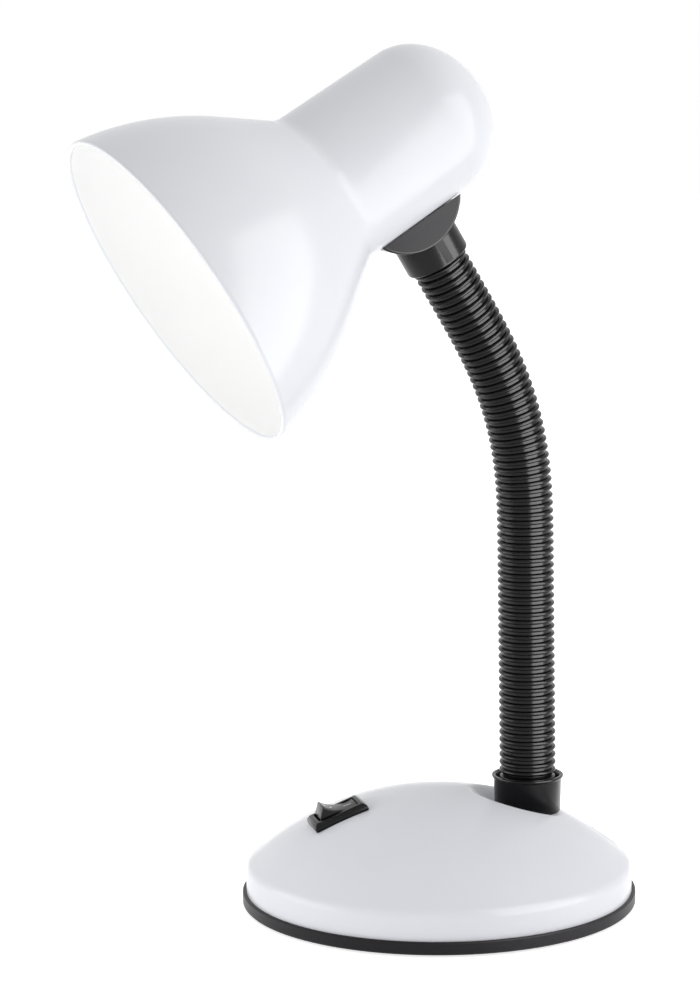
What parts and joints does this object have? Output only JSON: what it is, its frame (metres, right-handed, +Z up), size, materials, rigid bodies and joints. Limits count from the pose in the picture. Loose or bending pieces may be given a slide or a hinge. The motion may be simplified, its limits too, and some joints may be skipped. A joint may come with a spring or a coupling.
{
  "type": "desk lamp",
  "caption": "Gooseneck desk lamp with a white bell shade, a black ribbed bendable neck and a domed base with a rocker switch.",
  "frame": {"origin": "on the tabletop under the middle of the round base, in the plane of the foot ring's lower face", "axes": "+Z up; -Y is the front, on the switch's side, where the shade reaches out; the switch and the collar lie in the plane X = 0"},
  "size_m": [0.1555, 0.2052, 0.3154],
  "materials": {
    "shade_plastic": "gloss",
    "base_plastic": "gloss",
    "black_plastic": "gloss",
    "tray_plastic": "satin",
    "hose_plastic": "gloss",
    "foam_rubber": "matte",
    "iron_ballast": "rough",
    "conduit_steel": "satin",
    "zinc_steel": "satin",
    "contact_brass": "satin",
    "holder_plastic": "satin",
    "block_plastic": "matte"
  },
  "bodies": {
    "base": {"foot_ring": "foam_rubber", "base_plate": "tray_plastic", "ballast_weight": "iron_ballast", "base_screws": "zinc_steel", "base_shell": "base_plastic", "cable_inlet_bush": "black_plastic", "terminal_block": "block_plastic", "switch_body": "black_plastic", "switch_terminals": "contact_brass", "collar": "black_plastic", "lower_fitting": "conduit_steel", "lower_washer": "zinc_steel", "lower_lock_nut": "zinc_steel", "neck_sleeve_01": "hose_plastic"},
    "rocker": {"switch_rocker": "black_plastic"},
    "knuckle_01": {"neck_core_01": "conduit_steel"},
    "length_02": {"neck_sleeve_02": "hose_plastic"},
    "knuckle_02": {"neck_core_02": "conduit_steel"},
    "length_03": {"neck_sleeve_03": "hose_plastic"},
    "knuckle_03": {"neck_core_03": "conduit_steel"},
    "length_04": {"neck_sleeve_04": "hose_plastic"},
    "knuckle_04": {"neck_core_04": "conduit_steel"},
    "length_05": {"neck_sleeve_05": "hose_plastic"},
    "knuckle_05": {"neck_core_05": "conduit_steel"},
    "length_06": {"neck_sleeve_06": "hose_plastic"},
    "knuckle_06": {"neck_core_06": "conduit_steel"},
    "length_07": {"neck_sleeve_07": "hose_plastic"},
    "knuckle_07": {"neck_core_07": "conduit_steel"},
    "length_08": {"neck_sleeve_08": "hose_plastic"},
    "knuckle_08": {"neck_core_08": "conduit_steel"},
    "length_09": {"neck_sleeve_09": "hose_plastic"},
    "knuckle_09": {"neck_core_09": "conduit_steel"},
    "length_10": {"neck_sleeve_10": "hose_plastic"},
    "knuckle_10": {"neck_core_10": "conduit_steel"},
    "length_11": {"neck_sleeve_11": "hose_plastic"},
    "knuckle_11": {"neck_core_11": "conduit_steel"},
    "head": {"shade_bracket": "black_plastic", "upper_fitting": "conduit_steel", "shade": "shade_plastic", "shade_pad": "black_plastic", "holder_bracket": "zinc_steel", "upper_lock_nut": "zinc_steel", "holder_cap": "holder_plastic", "holder_nipple": "zinc_steel", "holder_nut": "zinc_steel", "holder_body": "holder_plastic", "screw_shell": "contact_brass", "centre_contact": "contact_brass", "neck_sleeve_12": "hose_plastic"}
  },
  "joints": [
    {"name": "neck_bend_01", "type": "hinge", "parent": "base", "child": "knuckle_01", "pos_m": [0, 0.0342, 0.06095], "axis": [0.9877, 0.1564, 0], "range_deg": [-9, 8]},
    {"name": "neck_sway_01", "type": "hinge", "parent": "knuckle_01", "child": "length_02", "pos_m": [0, 0.0342, 0.06095], "axis": [0.1564, -0.9877, -0.0044], "range_deg": [-5.5, 5.5]},
    {"name": "neck_bend_02", "type": "hinge", "parent": "length_02", "child": "knuckle_02", "pos_m": [0.00002, 0.03405, 0.07805], "axis": [0.9877, 0.1564, 0], "range_deg": [-8.5, 8.5]},
    {"name": "neck_sway_02", "type": "hinge", "parent": "knuckle_02", "child": "length_03", "pos_m": [0.00002, 0.03405, 0.07805], "axis": [0.1564, -0.9877, -0.0087], "range_deg": [-5.5, 5.5]},
    {"name": "neck_bend_03", "type": "hinge", "parent": "length_03", "child": "knuckle_03", "pos_m": [0.00005, 0.0339, 0.09515], "axis": [0.9877, 0.1564, 0], "range_deg": [-8.5, 8.5]},
    {"name": "neck_sway_03", "type": "hinge", "parent": "knuckle_03", "child": "length_04", "pos_m": [0.00005, 0.0339, 0.09515], "axis": [0.1564, -0.9877, -0.0087], "range_deg": [-5.5, 5.5]},
    {"name": "neck_bend_04", "type": "hinge", "parent": "length_04", "child": "knuckle_04", "pos_m": [0.00007, 0.03376, 0.11225], "axis": [0.9877, 0.1564, 0], "range_deg": [-8.5, 8.5]},
    {"name": "neck_sway_04", "type": "hinge", "parent": "knuckle_04", "child": "length_05", "pos_m": [0.00007, 0.03376, 0.11225], "axis": [0.1564, -0.9877, -0.0087], "range_deg": [-5.5, 5.5]},
    {"name": "neck_bend_05", "type": "hinge", "parent": "length_05", "child": "knuckle_05", "pos_m": [0.00009, 0.03361, 0.12935], "axis": [0.9877, 0.1564, 0], "range_deg": [-8.5, 8.5]},
    {"name": "neck_sway_05", "type": "hinge", "parent": "knuckle_05", "child": "length_06", "pos_m": [0.00009, 0.03361, 0.12935], "axis": [0.1564, -0.9877, -0.0087], "range_deg": [-5.5, 5.5]},
    {"name": "neck_bend_06", "type": "hinge", "parent": "length_06", "child": "knuckle_06", "pos_m": [0.00012, 0.03346, 0.14645], "axis": [0.9877, 0.1564, 0], "range_deg": [-12.5, 4.5]},
    {"name": "neck_sway_06", "type": "hinge", "parent": "knuckle_06", "child": "length_07", "pos_m": [0.00012, 0.03346, 0.14645], "axis": [0.1563, -0.9867, -0.0436], "range_deg": [-5.5, 5.5]},
    {"name": "neck_bend_07", "type": "hinge", "parent": "length_07", "child": "knuckle_07", "pos_m": [0.00033, 0.03214, 0.16349], "axis": [0.9877, 0.1564, 0], "range_deg": [-16, 1]},
    {"name": "neck_sway_07", "type": "hinge", "parent": "knuckle_07", "child": "length_08", "pos_m": [0.00033, 0.03214, 0.16349], "axis": [0.1548, -0.9775, -0.1435], "range_deg": [-5.5, 5.5]},
    {"name": "neck_bend_08", "type": "hinge", "parent": "length_08", "child": "knuckle_08", "pos_m": [0.00088, 0.02863, 0.18022], "axis": [0.9877, 0.1564, 0], "range_deg": [-16.5, 0.5]},
    {"name": "neck_sway_08", "type": "hinge", "parent": "knuckle_08", "child": "length_09", "pos_m": [0.00088, 0.02863, 0.18022], "axis": [0.1504, -0.9494, -0.2756], "range_deg": [-5.5, 5.5]},
    {"name": "neck_bend_09", "type": "hinge", "parent": "length_09", "child": "knuckle_09", "pos_m": [0.0018, 0.02285, 0.19629], "axis": [0.9877, 0.1564, 0], "range_deg": [-15, 2]},
    {"name": "neck_sway_09", "type": "hinge", "parent": "knuckle_09", "child": "length_10", "pos_m": [0.0018, 0.02285, 0.19629], "axis": [0.1437, -0.9075, -0.3947], "range_deg": [-5.5, 5.5]},
    {"name": "neck_bend_10", "type": "hinge", "parent": "length_10", "child": "knuckle_10", "pos_m": [0.00299, 0.01531, 0.21159], "axis": [0.9877, 0.1564, 0], "range_deg": [-13, 4]},
    {"name": "neck_sway_10", "type": "hinge", "parent": "knuckle_10", "child": "length_11", "pos_m": [0.00299, 0.01531, 0.21159], "axis": [0.1371, -0.8659, -0.481], "range_deg": [-5.5, 5.5]},
    {"name": "neck_bend_11", "type": "hinge", "parent": "length_11", "child": "knuckle_11", "pos_m": [0.00437, 0.00662, 0.22625], "axis": [0.9877, 0.1564, 0], "range_deg": [-8.5, 8.5]},
    {"name": "neck_sway_11", "type": "hinge", "parent": "knuckle_11", "child": "head", "pos_m": [0.00437, 0.00662, 0.22625], "axis": [0.1341, -0.8466, -0.515], "range_deg": [-5.5, 5.5]},
    {"name": "switch_rock", "type": "hinge", "parent": "base", "child": "rocker", "pos_m": [0, -0.0381, 0.03563], "axis": [1, 0, 0], "range_deg": [0, 40]}
  ]
}
